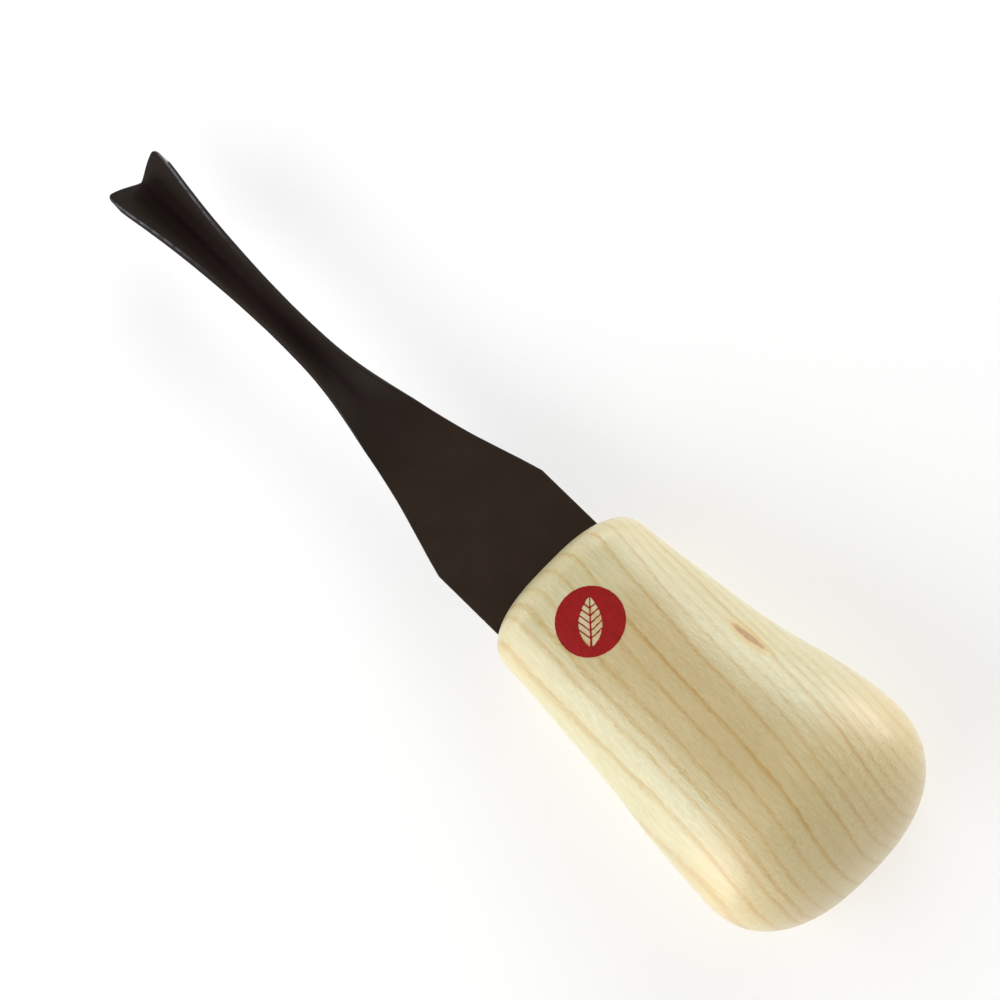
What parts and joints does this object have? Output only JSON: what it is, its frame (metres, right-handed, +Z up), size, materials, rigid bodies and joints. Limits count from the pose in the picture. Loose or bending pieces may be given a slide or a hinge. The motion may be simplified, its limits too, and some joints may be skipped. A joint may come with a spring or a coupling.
{
  "type": "lino cutter",
  "caption": "Palm-handled lino cutter: a black spring-steel strap that narrows to a neck and opens into a V-shaped cutting edge, bonded into a rounded ash handle.",
  "frame": {"origin": "on the handle's flat underside, below the middle of the grip and on the blade's centre line, 31 mm behind the handle's front face", "axes": "+X runs along the tool from the butt towards the cutting edge, +Z points up out of the open side of the V, so the flat underside faces -Z, and +Y is to the left of someone looking along +X"},
  "size_m": [0.1515, 0.039, 0.0287],
  "materials": {
    "ash_wood": "pale ash with thin tan growth lines and open pores, sanded and satin lacquered",
    "black_steel": "spring steel with a satin brown-black heat-treatment oxide, bright only where it is ground at the cutting edge",
    "adhesive": "cured amber epoxy, slightly glossy at the mouth of the slot",
    "red_ink": "thin dark red printing ink that lets the grain show through"
  },
  "bodies": {
    "root": {"handle": "ash_wood", "blade": "black_steel", "tang_adhesive": "adhesive", "printed_mark": "red_ink"}
  },
  "joints": []
}
